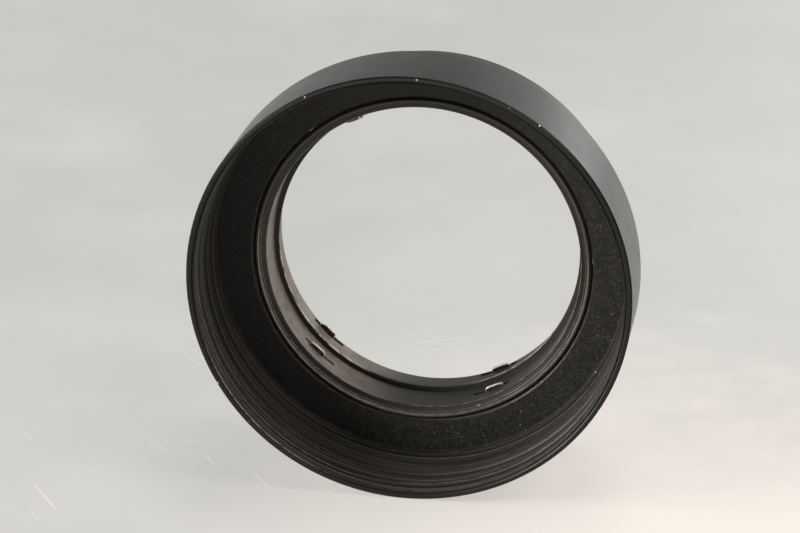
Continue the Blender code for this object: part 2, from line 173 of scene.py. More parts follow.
def pivot_circle(radius, angle, steps):
    """(x, z) circle round the pivot that stands at this angle."""
    pivot = polar(PIVOT_RADIUS, angle, 0.0)
    turns = [2 * math.pi * i / steps for i in range(steps)]
    return [(pivot.x * 1000 + radius * math.cos(turn), pivot.z * 1000 + radius * math.sin(turn))
            for turn in turns]


# ------------------------------------------------------------------ solids
def skinned(rings):
    """Solid through rings of scene points, closed at both ends."""
    solid = bmesh.new()
    rings = [[solid.verts.new(point) for point in ring] for ring in rings]
    count = len(rings[0])
    for ring, other in zip(rings, rings[1:]):
        for i in range(count):
            j = (i + 1) % count
            solid.faces.new((ring[i], ring[j], other[j], other[i]))
    solid.faces.new(rings[0])
    solid.faces.new(rings[-1])
    return solid


def layered(layers):
    """Stack of equal-length outlines: (depth, (x, z) points)."""
    return skinned([[(mm(x), FRONT_Y + mm(depth), mm(z)) for x, z in points]
                    for depth, points in layers])


def radial_slab(inner, outer, outline, angle):
    """(across, depth) outline drawn out along the radius at this angle."""
    cos, sin = math.cos(math.radians(angle)), math.sin(math.radians(angle))
    return skinned([[(mm(x * cos - z * sin), FRONT_Y + mm(depth), mm(x * sin + z * cos))
                     for z, depth in outline] for x in (inner, outer)])


def mesh_object(name, solid, materials):
    bmesh.ops.recalc_face_normals(solid, faces=solid.faces)
    mesh = bpy.data.meshes.new(name)
    solid.to_mesh(mesh)
    solid.free()
    for material in materials:
        mesh.materials.append(material)
    piece = bpy.data.objects.new(name, mesh)
    bpy.context.scene.collection.objects.link(piece)
    return piece


def lathe(name, outline, finishes):
    """Outline filleted and turned about the axis; its finishes are keys of `finishes`."""
    outline = fillet(outline)
    solid = bmesh.new()
    rings = []
    for k in range(SEGMENTS):
        turn = 2 * math.pi * k / SEGMENTS
        cos, sin = math.cos(turn), math.sin(turn)
        rings.append([solid.verts.new((mm(radius) * cos, FRONT_Y + mm(depth), mm(radius) * sin))
                      for radius, depth, _ in outline])
    keys = list(finishes)
    for k, ring in enumerate(rings):
        other = rings[(k + 1) % SEGMENTS]
        for i, point in enumerate(outline):
            j = (i + 1) % len(outline)
            face = solid.faces.new((ring[i], ring[j], other[j], other[i]))
            face.material_index = keys.index(point[2])
    return mesh_object(name, solid, finishes.values())


def apply_booleans(piece, steps, slot=0):
    """Run (operation, solid) steps on a piece; the new faces take this material slot."""
    tools = []
    for operation, solid in steps:
        tool = mesh_object("tool", solid, piece.data.materials)
        for polygon in tool.data.polygons:
            polygon.material_index = slot
        modifier = piece.modifiers.new("cut", "BOOLEAN")
        modifier.operation = operation
        modifier.solver = "EXACT"
        modifier.object = tool
        tools.append(tool)
    graph = bpy.context.evaluated_depsgraph_get()
    graph.update()
    baked = bpy.data.meshes.new_from_object(piece.evaluated_get(graph), depsgraph=graph)
    piece.modifiers.clear()
    old = piece.data
    piece.data = baked
    bpy.data.meshes.remove(old)
    for tool in tools:
        mesh = tool.data
        bpy.data.objects.remove(tool)
        bpy.data.meshes.remove(mesh)


def deliver(piece, cad_name, carrier, sharp=38.0):
    """Shade a finished piece and hand it to the frame; `sharp` is the crease angle."""
    piece.data.shade_smooth()
    piece.data.set_sharp_from_angle(angle=math.radians(sharp))
    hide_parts(cad_name)
    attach(piece, carrier)


# ------------------------------------------------------------------ node helpers
class Nodes:
    """Adds nodes to a tree. Wherever a number goes in, a socket may go in too."""

    def __init__(self, tree):
        self.tree = tree

    def put(self, socket, value):
        if isinstance(value, bpy.types.NodeSocket):
            self.tree.links.new(value, socket)
        else:
            socket.default_value = value

    def node(self, kind, inputs=(), **settings):
        made = self.tree.nodes.new(kind)
        for setting, value in settings.items():
            setattr(made, setting, value)
        for key, value in dict(inputs).items():
            self.put(made.inputs[key], value)
        return made

    def math(self, kind, *values, clamp=False):
        made = self.node("ShaderNodeMath", enumerate(values), operation=kind, use_clamp=clamp)
        return made.outputs[0]

    def vmath(self, kind, *vectors):
        made = self.node("ShaderNodeVectorMath", enumerate(vectors), operation=kind)
        return made.outputs[1 if kind in ("DISTANCE", "DOT_PRODUCT") else 0]

    def times(self, *values):
        return reduce(lambda product, value: self.math("MULTIPLY", product, value), values)

    def split(self, vector):
        return self.node("ShaderNodeSeparateXYZ", {0: vector}).outputs

    def ramp(self, value, over, to=(0.0, 1.0)):
        """Smooth step from to[0] at over[0] to to[1] at over[1]."""
        return self.node("ShaderNodeMapRange", enumerate((value, *over, *to)),
                         interpolation_type="SMOOTHSTEP").outputs["Result"]


class Material(Nodes):
    """Principled material in layers, on hood coordinates in mm (y is the depth)."""

    def __init__(self, name, color, rough, metal=0.0, spec=0.5):
        self.material = bpy.data.materials.new(name)
        self.material.use_nodes = True
        self.material.diffuse_color = (*color, 1.0)
        super().__init__(self.material.node_tree)
        self.shader = self.tree.nodes["Principled BSDF"]
        self.specular = self.shader.inputs["Specular IOR Level"]
        self.put(self.specular, spec)
        place = self.node("ShaderNodeTexCoord").outputs["Object"]
        self.pos = self.vmath("MULTIPLY_ADD", place, (1000, 1000, 1000), (0, -1000 * FRONT_Y, 0))
        self.color = self.node("ShaderNodeRGB").outputs[0]
        self.color.default_value = (*color, 1.0)
        self.rough = self.node("ShaderNodeValue").outputs[0]
        self.rough.default_value = rough
        self.metal = metal
        self.height = None

    # ---- coordinates, made when first asked for
    @cached_property
    def axes(self):
        return self.split(self.pos)

    x = property(lambda self: self.axes[0])
    depth = property(lambda self: self.axes[1])
    z = property(lambda self: self.axes[2])

    @cached_property
    def radius(self):
        return self.hypot(self.x, self.z)

    @cached_property
    def angle(self):
        return self.math("ARCTAN2", self.z, self.x)

    # ---- arithmetic
    def math(self, kind, first, second=0.0, third=0.0, clamp=False):
        return super().math(kind, first, second, third, clamp=clamp)

    def hypot(self, x, z):
        return self.math("SQRT", self.math("ADD", self.times(x, x), self.times(z, z)))

    def scaled(self, value, by, plus, clamp=False):
        return self.math("MULTIPLY_ADD", value, by, plus, clamp)

    def centred(self, noise):
        return self.math("SUBTRACT", noise, 0.5)

    def either(self, *masks):
        return reduce(lambda total, mask: self.math("MAXIMUM", total, mask), masks)

    def combine(self, x, y, z):
        return self.node("ShaderNodeCombineXYZ", enumerate((x, y, z))).outputs[0]

    def blend(self, mask, without, full):
        """Number that goes from `without` to `full` with the mask."""
        return self.node("ShaderNodeMix", {0: mask, 2: without, 3: full},
                         data_type="FLOAT").outputs[0]

    def mix(self, mask, under, color):
        return self.node("ShaderNodeMix", {0: mask, 6: under, 7: (*color, 1.0)},
                         data_type="RGBA").outputs[2]

    # ---- patterns
    def noise(self, scale, detail=2.0, rough=0.5, vector=None):
        return self.node("ShaderNodeTexNoise", {
            "Vector": self.pos if vector is None else vector,
            "Scale": scale, "Detail": detail, "Roughness": rough}).outputs[0]

    def turned(self, across, freq, along, detail=2.0, rough=0.5):
        """Noise that varies across turned rings (freq) and only slowly round them (along)."""
        rings = self.combine(self.times(across, freq),
                             self.times(self.math("COSINE", self.angle), along),
                             self.times(self.math("SINE", self.angle), along))
        return self.noise(1.0, detail, rough, rings)

    def near(self, value, at, half, soft):
        """1 within `half` of a value, fading out over `soft`."""
        away = self.math("ABSOLUTE", self.math("SUBTRACT", value, at))
        return self.ramp(away, over=(half, half + soft), to=(1.0, 0.0))

    def bands(self, rows, soft):
        """Rings on the wall: (depth, half width) rows."""
        return self.either(*(self.near(self.depth, at, half, soft) for at, half in rows))

    def toward(self, angle, over):
        """1 on the side that lies at this angle; `over` is in cosines of the angle off it."""
        cos, sin = math.cos(math.radians(angle)), math.sin(math.radians(angle))
        dot = self.math("ADD", self.times(self.x, cos), self.times(self.z, sin))
        return self.ramp(self.math("DIVIDE", dot, self.radius), over)

    def distance(self, angle, radius, depth):
        turn = math.radians(angle)
        place = (radius * math.cos(turn), depth, radius * math.sin(turn))
        return self.vmath("DISTANCE", self.pos, place)

    def cell_dots(self, vector, scale, keep, size, dimensions):
        """Dots of about `size` mm in the share `keep` of cells 1/scale mm wide."""
        cells = self.node("ShaderNodeTexVoronoi", {"Vector": vector, "Scale": scale},
                          voronoi_dimensions=dimensions)
        draw = self.node("ShaderNodeSeparateColor", {0: cells.outputs["Color"]}).outputs
        kept = self.ramp(draw[0], over=(1 - keep, 1 - keep + 0.002))
        reach = self.scaled(draw[1], by=size * scale * 0.8, plus=size * scale * 0.5)
        return self.times(kept, self.math("LESS_THAN", cells.outputs["Distance"], reach))

    def specks(self, scale, keep, size, seed):
        """Dots spread through space."""
        vector = self.vmath("ADD", self.pos, (seed, seed * 1.7, -seed))
        return self.cell_dots(vector, scale, keep, size, "3D")

    def dots(self, scale, keep, size, seed):
        """Dots on a face square to the axis."""
        vector = self.combine(self.math("ADD", self.x, seed),
                              self.math("ADD", self.z, seed * 1.7), 0.0)
        return self.cell_dots(vector, scale, keep, size, "2D")

    # ---- layers
    def paint(self, mask, color, rough=None, metal=None, amount=None):
        if amount is not None:
            mask = self.times(mask, amount)
        self.color = self.mix(mask, self.color, color)
        if rough is not None:
            self.rough = self.blend(mask, self.rough, rough)
        if metal is not None:
            self.metal = self.blend(mask, self.metal, metal)

    def dim(self, factor):
        self.color = self.vmath("MULTIPLY", self.color, self.combine(factor, factor, factor))

    def mottle_rough(self, scale, amount):
        self.rough = self.scaled(self.centred(self.noise(scale, detail=3.0)), amount, self.rough)

    def bump(self, height, amount):
        """Add height, `amount` mm at full."""
        added = self.times(height, amount)
        self.height = added if self.height is None else self.math("ADD", self.height, added)

    def finish(self):
        self.put(self.shader.inputs["Base Color"], self.color)
        self.put(self.shader.inputs["Roughness"], self.rough)
        self.put(self.shader.inputs["Metallic"], self.metal)
        if self.height is not None:
            bump = self.node("ShaderNodeBump", {
                "Strength": 1.0, "Distance": 0.001, "Height": self.height})
            self.put(self.shader.inputs["Normal"], bump.outputs[0])
        return self.material


# ------------------------------------------------------------------ barrel materials
# small chips in the finish along the front rim: angle, radius, depth, size
CHIPS = [
    (54.5, 28.93, 0.02, 0.13), (87.4, 28.72, 0.0, 0.16), (116.8, 28.75, 0.0, 0.12),
    (63.2, 28.75, 0.0, 0.08), (96.5, 28.95, 0.05, 0.06), (209.6, 28.94, 0.05, 0.24),
    (330.0, 28.98, 0.1, 0.11), (297.8, 28.97, 0.05, 0.10), (348.2, 28.96, 0.05, 0.09),
    (0.6, 28.97, 0.05, 0.10), (153.0, 28.95, 0.05, 0.07), (157.5, 28.97, 0.08, 0.08),
    (163.0, 28.95, 0.05, 0.09), (167.2, 28.97, 0.1, 0.07), (41.0, 28.97, 0.08, 0.07),
    (15.8, 28.97, 0.08, 0.06), (222.8, 28.6, 0.0, 0.06), (192.0, 28.9, 0.0, 0.05),
    (245.0, 28.9, 0.0, 0.05), (312.0, 28.9, 0.03, 0.05)]


def paint_chips(mat):
    ragged = mat.noise(scale=9.0)

    def chip(angle, radius, depth, size):
        wobble = mat.times(mat.centred(ragged), size * 1.2)
        away = mat.math("SUBTRACT", mat.distance(angle, radius, depth), wobble)
        return mat.ramp(away, over=(size * 0.75, size), to=(1.0, 0.0))

    mask = mat.either(*(chip(*row) for row in CHIPS))
    mat.paint(mask, (0.55, 0.44, 0.33), rough=0.35, metal=0.7)


def lip_highlight_and_shade(mat, spec):
    """Lighter at the top, with an arc of painted highlight at lower left and an arc of painted
    shade at upper left.
    """
    mat.paint(mat.toward(angle=95.0, over=(0.50, 0.90)), (0.022, 0.0215, 0.020))
    # painted highlight: a bright arc on the lip's inner edge at lower left
    lip_highlight = mat.times(mat.near(mat.radius, at=28.14, half=0.08, soft=0.05),
                    mat.toward(angle=216.0, over=(0.80, 0.96)),
                    mat.ramp(mat.noise(scale=1.2, detail=3.0), over=(0.30, 0.55)))
    mat.paint(lip_highlight, (0.27, 0.235, 0.20), rough=0.4)
    # painted shade: a dark arc on the lip at upper left
    shade = mat.times(mat.near(mat.radius, at=28.15, half=0.10, soft=0.04),
                      mat.toward(angle=140.0, over=(0.20, 0.70)))
    mat.paint(shade, (0.007, 0.007, 0.0065))
    mat.put(mat.specular, mat.blend(shade, without=spec, full=0.09))


def lacquer(name, color, rough, spec=0.56, chips=True, lip=False):
    """Black lacquer with fine scratches and dust."""
    mat = Material(name, color, rough, spec=spec)
    mat.mottle_rough(scale=0.35, amount=0.10)
    mat.bump(mat.noise(scale=14.0), amount=0.0010)
    mat.bump(mat.noise(scale=3.0), amount=0.0016)
    stretched = mat.vmath("MULTIPLY", mat.pos, (0.25, 4.0, 2.2))
    scratches = mat.ramp(mat.noise(scale=3.0, vector=stretched), over=(0.62, 0.78), to=(0.0, 0.07))
    mat.rough = mat.math("ADD", mat.rough, scratches)
    mat.paint(mat.specks(scale=1.1, keep=0.10, size=0.035, seed=3.0), (0.32, 0.30, 0.27),
              rough=0.7, amount=0.35)
    # on the lip: painted highlight and painted shade
    if lip:
        lip_highlight_and_shade(mat, spec)
    if chips:
        paint_chips(mat)
    return mat.finish()


# rings of painted shade in the inside wall's grooves: depth, half width
DARK_GROOVES = ((2.60, 0.09), (5.22, 0.09), (3.55, 0.04), (6.6, 0.04), (7.6, 0.04))
# rings of painted highlight by side: angle, fade cosines, rings
LIGHT_RINGS = (
    (216.0, (0.66, 0.92), ((2.20, 0.06), (4.88, 0.05), (1.30, 0.04), (3.95, 0.03))),
    (303.0, (0.70, 0.92), ((0.72, 0.05), (2.90, 0.05), (5.60, 0.05), (7.30, 0.03), (9.85, 0.03))))


def turned_wall():
    mat = Material("turned_wall", (0.022, 0.021, 0.019), rough=0.46)
    mat.bump(mat.turned(mat.depth, freq=7.0, along=0.8, detail=3.0, rough=0.6), amount=0.016)
    broad = mat.turned(mat.depth, freq=1.4, along=0.4)
    mat.paint(mat.ramp(broad, over=(0.4, 0.7)), (0.032, 0.030, 0.026))
    # painted light: the wall is lighter at the lower left
    mat.paint(mat.toward(angle=224.0, over=(0.90, 0.99)), (0.046, 0.041, 0.036), amount=0.8)
    fine = mat.turned(mat.depth, freq=4.4, along=0.5)
    mat.paint(mat.ramp(fine, over=(0.50, 0.58)), (0.070, 0.059, 0.049), amount=0.8)
    dark = mat.ramp(mat.turned(mat.depth, freq=3.4, along=0.4, detail=1.0), over=(0.53, 0.58))
    mat.paint(dark, (0.008, 0.0078, 0.007), amount=0.85)
    # painted shade in the grooves, on the lower left only
    grooves = mat.times(mat.bands(DARK_GROOVES, soft=0.04),
                        mat.toward(angle=212.0, over=(0.45, 0.80)))
    mat.paint(grooves, (0.004, 0.004, 0.0035))
    dull = mat.either(grooves, mat.times(dark, 0.7))
    mat.put(mat.specular, mat.blend(dull, without=0.5, full=0.06))
    # painted highlights on rings of the wall, in patches
    for angle, fade, rings in LIGHT_RINGS:
        light = mat.times(mat.bands(rings, soft=0.05), mat.toward(angle, fade),
                          mat.ramp(mat.noise(scale=0.9, detail=3.0), over=(0.30, 0.60)))
        mat.paint(light, (0.155, 0.133, 0.114))
    mat.paint(mat.specks(scale=0.9, keep=0.14, size=0.04, seed=1.0), (0.30, 0.28, 0.24),
              rough=0.8, amount=0.6)
    paint_chips(mat)
    return mat.finish()


def matt_floor():
    """Grainy black, with most dust on the right, painted shade on the left and painted light at
    the top.
    """
    mat = Material("matt_floor", (0.0135, 0.0130, 0.0112), rough=0.62, spec=0.3)
    grain = mat.noise(scale=1.5, detail=5.0, rough=0.72)
    mat.bump(mat.noise(scale=2.6, detail=5.0, rough=0.70), amount=0.050)
    mat.bump(mat.noise(scale=13.0), amount=0.008)
    mat.bump(mat.turned(mat.radius, freq=2.5, along=1.2), amount=0.006)
    mat.paint(mat.ramp(grain, over=(0.42, 0.66)), (0.034, 0.030, 0.023))
    dusty = mat.toward(angle=350.0, over=(-0.55, 0.35))
    # painted shade: darker on the left
    mat.paint(mat.toward(angle=188.0, over=(0.45, 0.92)), (0.0075, 0.0072, 0.006), amount=0.5)
    # painted light: lighter at the top
    mat.paint(mat.toward(angle=80.0, over=(0.60, 0.98)), (0.032, 0.030, 0.026), amount=0.8)
    fine = mat.dots(scale=2.6, keep=0.55, size=0.052, seed=7.0)
    mat.paint(mat.times(fine, dusty), (0.13, 0.115, 0.083), rough=0.9, amount=0.62)
    medium = mat.dots(scale=1.5, keep=0.30, size=0.060, seed=31.0)
    mat.paint(mat.times(medium, dusty), (0.20, 0.19, 0.152), rough=0.9, amount=0.8)
    coarse = mat.dots(scale=0.6, keep=0.14, size=0.070, seed=13.0)
    mat.paint(mat.times(coarse, mat.scaled(dusty, by=0.8, plus=0.2)), (0.36, 0.34, 0.29),
              rough=0.9, amount=0.9)
    return mat.finish()


# ------------------------------------------------------------------ sleeve materials
def turned_black(name, color, rough, freq, relief, across="depth"):
    """Base for turned surfaces: rings across the depth or the radius, and dust. Unfinished."""
    mat = Material(name, color, rough)
    lines = mat.turned(getattr(mat, across), freq, along=0.7, detail=3.0, rough=0.62)
    mat.bump(lines, relief)
    mat.paint(mat.ramp(lines, over=(0.45, 0.75)), tuple(min(1.0, c * 1.7) for c in color))
    mat.mottle_rough(scale=0.6, amount=0.12)
    mat.bump(mat.noise(scale=9.0, detail=3.0), amount=0.0015)
    mat.paint(mat.specks(scale=0.8, keep=0.12, size=0.035, seed=5.0), (0.38, 0.35, 0.30),
              rough=0.8, amount=0.6)
    return mat


# rubbed spots where the brass shows: angle, radius, depth, size
BRASS_SPOTS = (
    (291.2, 21.72, 12.22, 0.17), (290.2, 21.60, 12.27, 0.09), (292.4, 21.8, 12.17, 0.08),
    (318.0, 21.9, 12.1, 0.08), (63.0, 21.7, 12.2, 0.10))


def lip_cone():
    mat = turned_black("lip_cone", (0.024, 0.022, 0.0185), rough=0.42, freq=6.0, relief=0.012,
                       across="radius")
    # painted light and shade by side: lighter at the lower right, darker at the right
    mat.paint(mat.toward(angle=287.0, over=(0.25, 0.80)), (0.054, 0.047, 0.041))
    mat.paint(mat.toward(angle=352.0, over=(0.60, 0.95)), (0.016, 0.0145, 0.0125), amount=0.7)
    band = mat.turned(mat.radius, freq=5.5, along=0.5)
    mat.paint(mat.ramp(band, over=(0.48, 0.56)), (0.056, 0.047, 0.040), amount=0.55)
    # painted shade: darker at the lower left
    mat.paint(mat.toward(angle=205.0, over=(0.30, 0.80)), (0.014, 0.013, 0.011), amount=0.75)
    dull = mat.toward(angle=325.0, over=(0.35, 0.85))
    mat.put(mat.specular, mat.blend(dull, without=0.45, full=0.07))
    for angle, radius, depth, size in BRASS_SPOTS:
        spot = mat.ramp(mat.distance(angle, radius, depth), over=(size * 0.5, size), to=(1.0, 0.0))
        mat.paint(spot, (0.62, 0.47, 0.24), rough=0.3, metal=0.8)
    return mat.finish()


def bead_edge():
    """Painted highlight: bright inside a limiting radius that grows towards the lower right."""
    mat = turned_black("bead_edge", (0.034, 0.030, 0.026), rough=0.42, freq=6.0, relief=0.004,
                       across="radius")
    limit = mat.scaled(mat.toward(angle=305.0, over=(0.30, 0.80)), by=0.16, plus=22.13)
    inside = mat.ramp(mat.math("SUBTRACT", limit, mat.radius), over=(-0.03, 0.03))
    patches = mat.ramp(mat.noise(scale=1.3, detail=3.0), over=(0.35, 0.6))
    lower_right = mat.toward(angle=305.0, over=(0.30, 0.80))
    sides = mat.either(mat.toward(angle=215.0, over=(0.5, 0.9)),
                       mat.scaled(lower_right, by=0.6, plus=0.3))
    # painted highlight on the bead, strongest at the lower left
    bright = mat.times(inside, mat.scaled(patches, by=0.5, plus=0.5), sides)
    mat.paint(bright, (0.17, 0.148, 0.126))
    mat.paint(mat.times(bright, mat.toward(angle=212.0, over=(0.55, 0.92))), (0.34, 0.295, 0.25))
    return mat.finish()


def worn_edge(name, color, rough, worn_color, amount, scale, spec):
    """A turned edge whose black has rubbed thin, in patches."""
    mat = turned_black(name, color, rough, freq=6.0, relief=0.004, across="radius")
    mat.put(mat.specular, spec)
    worn = mat.ramp(mat.noise(scale, detail=3.0), over=(0.38, 0.66))
    mat.paint(worn, worn_color, rough=0.34, metal=0.4, amount=amount)
    return mat.finish()


def collar_wall():
    """Brown haze at lower left, partly dust and partly painted light; painted shade at lower right
    and towards the rear.
    """
    mat = turned_black("collar_wall", (0.072, 0.069, 0.061), rough=0.40, freq=5.0, relief=0.0045)
    haze = mat.noise(scale=0.55, detail=4.0, rough=0.6)
    left = mat.toward(angle=207.0, over=(0.55, 0.92))
    right = mat.toward(angle=322.0, over=(0.40, 0.95))
    mat.paint(mat.ramp(haze, over=(0.42, 0.62)), (0.058, 0.058, 0.050), amount=0.4)
    patch = mat.scaled(mat.centred(haze), by=1.8, plus=0.85, clamp=True)
    # partly dust, partly painted light: a bright brown patch at lower left
    mat.paint(mat.times(left, patch), (0.45, 0.37, 0.31))
    # painted shade: darker at the lower right
    mat.paint(right, (0.036, 0.035, 0.031))
    mat.paint(mat.specks(scale=1.1, keep=0.30, size=0.05, seed=17.0), (0.50, 0.46, 0.41),
              rough=0.6, amount=0.7)
    left_spec = mat.blend(left, without=0.55, full=0.30)
    mat.put(mat.specular, mat.blend(right, without=left_spec, full=0.18))
    shade = mat.times(mat.ramp(mat.depth, over=(17.8, 18.4)),
                      mat.blend(left, without=0.10, full=0.30))
    mat.paint(shade, (0.020, 0.018, 0.016))
    return mat.finish()


def rib_black():
    mat = turned_black("rib_black", (0.013, 0.0125, 0.011), rough=0.48, freq=9.0, relief=0.004,
                       across="radius")
    # painted light: lighter towards the right, where the face is lit
    mat.paint(mat.toward(angle=300.0, over=(0.45, 0.85)), (0.060, 0.054, 0.046))
    return mat.finish()


def rib_edge():
    mat = turned_black("rib_edge", (0.035, 0.032, 0.028), rough=0.35, freq=9.0, relief=0.003)
    worn = mat.ramp(mat.noise(scale=1.1, detail=3.0), over=(0.30, 0.55))
    right = mat.times(mat.toward(angle=308.0, over=(0.90, 0.97)), 0.22)
    sides = mat.either(mat.toward(angle=212.0, over=(0.80, 0.90)), right)
    mat.paint(mat.times(worn, sides), (0.88, 0.80, 0.71), rough=0.36, metal=0.2)
    return mat.finish()


# ------------------------------------------------------------------ small metal materials
def arm_black():
    """Blackened sheet: the hooks' rounded edges have worn down to bright metal."""
    mat = Material("arm_black", (0.036, 0.034, 0.031), rough=0.42)
    mat.bump(mat.noise(scale=9.0, detail=3.0), amount=0.003)
    mat.paint(mat.ramp(mat.noise(scale=2.2, detail=3.0), over=(0.4, 0.7)), (0.050, 0.046, 0.041))
    normal = mat.split(mat.node("ShaderNodeNewGeometry").outputs["Normal"])
    ragged = mat.times(mat.centred(mat.noise(scale=3.0, detail=3.0)), 0.35)
    facing = mat.math("ADD", mat.math("ABSOLUTE", normal[1]), mat.times(ragged, 0.5))
    edge = mat.ramp(facing, over=(0.90, 0.985), to=(1.0, 0.0))
    tip = mat.ramp(mat.radius, over=(21.0, 21.12), to=(1.0, 0.0))
    mat.paint(mat.times(edge, tip), (0.90, 0.83, 0.74), rough=0.34, metal=0.6)
    # one pale spot on the upper left front hook
    away = mat.math("ADD", mat.distance(angle=115.2, radius=20.50, depth=14.65),
                    mat.times(ragged, 0.5))
    mat.paint(mat.ramp(away, over=(0.12, 0.19), to=(1.0, 0.0)), (0.95, 0.86, 0.74),
              rough=0.5, metal=0.0)
    return mat.finish()


def bare_metal(name, color, rough):
    mat = Material(name, color, rough, metal=0.85)
    mat.bump(mat.noise(scale=11.0, detail=3.0), amount=0.002)
    stretched = mat.vmath("MULTIPLY", mat.pos, (1, 6, 1))
    mat.bump(mat.noise(scale=2.5, detail=3.0, vector=stretched), amount=0.003)
    mat.mottle_rough(scale=1.6, amount=0.2)
    mat.paint(mat.ramp(mat.noise(scale=2.2, detail=3.0), over=(0.4, 0.7)),
              tuple(c * 1.5 for c in color))
    return mat.finish()


def button_lacquer():
    """Black, worn in patches on its outermost part."""
    mat = Material("button_lacquer", (0.022, 0.021, 0.020), rough=0.36)
    mat.bump(mat.noise(scale=12.0), amount=0.0012)
    worn = mat.times(mat.ramp(mat.radius, over=(27.30, 27.48)),
                     mat.ramp(mat.noise(scale=2.6, detail=4.0), over=(0.46, 0.62)))
    mat.paint(worn, (0.30, 0.25, 0.17), rough=0.35, metal=0.6, amount=0.30)
    mat.paint(mat.specks(scale=1.6, keep=0.15, size=0.03, seed=2.0), (0.34, 0.32, 0.28),
              rough=0.8, amount=0.5)
    return mat.finish()


LACQUER = lacquer("barrel_lacquer", (0.018, 0.0175, 0.0165), rough=0.31)
LIP = lacquer("rim_lacquer", (0.010, 0.0098, 0.009), rough=0.48, spec=0.28, lip=True)
RIM = lacquer("rim_chamfer", (0.005, 0.005, 0.0047), rough=0.38, spec=0.11)
COVER_LACQUER = lacquer("cover_lacquer", (0.020, 0.0195, 0.019), rough=0.34, chips=False)
WALL = turned_wall()
FLOOR_BLACK = matt_floor()
CONE = lip_cone()
BEAD = bead_edge()
BEVEL = worn_edge("floor_bevel", (0.014, 0.0132, 0.0115), rough=0.50,
                  worn_color=(0.060, 0.049, 0.041), amount=0.6, scale=1.3, spec=0.26)
EDGE = worn_edge("collar_edge", (0.085, 0.075, 0.065), rough=0.32,
                 worn_color=(0.42, 0.36, 0.31), amount=0.75, scale=1.0, spec=0.5)
COLLAR = collar_wall()
RIB = rib_black()
RIB_EDGE = rib_edge()
RAW = turned_black("turned_inside", (0.10, 0.095, 0.085), rough=0.45, freq=6.0,
                   relief=0.004).finish()
ARM_BLACK = arm_black()
BRIGHT_STEEL = bare_metal("bright_steel", (0.48, 0.47, 0.45), rough=0.28)
BRASS = bare_metal("rivet_brass", (0.62, 0.45, 0.20), rough=0.32)
SHOE_STEEL = bare_metal("shoe_steel", (0.16, 0.155, 0.15), rough=0.38)
BUTTON = button_lacquer()

# ------------------------------------------------------------------ barrel
# distance along the wall from its front, half width, depth of cut
WALL_GROOVES = [
    (0.75, 0.04, 0.012), (1.15, 0.04, 0.016), (1.60, 0.05, 0.020), (2.06, 0.09, 0.055),
    (2.62, 0.08, 0.045), (3.10, 0.03, 0.012), (3.55, 0.05, 0.022), (3.95, 0.03, 0.012),
    (4.74, 0.09, 0.055), (5.22, 0.08, 0.045), (5.75, 0.05, 0.022), (6.20, 0.03, 0.012),
    (6.60, 0.05, 0.020), (7.15, 0.04, 0.016), (7.55, 0.04, 0.018), (8.00, 0.04, 0.014),
    (8.45, 0.05, 0.022)]
# radius, depth, finish, fillet radius: rim, outside, neck, then forward up the inside
BARREL_OUTLINE = [
    (28.46, 0.0, "lip", 0.02), (28.82, 0.0, "rim", 0.03),
    (RIM_RADIUS, 0.19, "outer", 0.03), (RIM_RADIUS, 0.40, "outer", 0.0),
    (RIM_RADIUS, 11.42, "outer", 0.12), (28.55, 12.20, "outer", 0.6),
    (27.95, 12.72, "outer", 0.6), (27.10, 13.00, "outer", 0.5), (26.05, 13.00, "outer", 0.2),
    (NECK_OUTER, 13.25, "outer", 0.1), (NECK_OUTER, 22.05, "outer", 0.06),
    (NECK_INNER, 22.05, "raw", 0.04), (NECK_INNER, 12.90, "raw", 0.05),
    (22.74, 12.90, "raw", 0.05), (22.74, 11.75, "bevel", 0.03),
    (22.94, FLOOR_DEPTH, "floor", 0.04), (27.16, FLOOR_DEPTH, "floor", 0.12),
    (27.34, 11.10, "wall", 0.15), (*WALL_REAR, "wall", 0.3),
    *grooved_wall(WALL_GROOVES),
    (*WALL_FRONT, "wall", 0.05), (28.06, 0.06, "lip", 0.02), (28.25, 0.22, "lip", 0.02)]
# rounded window through the neck on each side
WINDOW_HALF_WIDTH = 4.5
WINDOW_DEPTHS = (15.45, 20.35)
WINDOW_GAP = 0.18                    # clearance all round


def build_barrel():
    barrel = lathe("barrel", BARREL_OUTLINE, {
        "outer": LACQUER, "lip": LIP, "rim": RIM, "wall": WALL, "floor": FLOOR_BLACK,
        "bevel": BEVEL, "raw": RAW})
    window = rounded_rect(WINDOW_HALF_WIDTH + WINDOW_GAP, WINDOW_DEPTHS[0] - WINDOW_GAP,
                          WINDOW_DEPTHS[1] + WINDOW_GAP, radius=0.35, steps=5)
    apply_booleans(barrel, [("DIFFERENCE", radial_slab(24.3, 26.6, window, side))
                            for side in SIDES])
    deliver(barrel, "hood_barrel", "housing")


build_barrel()

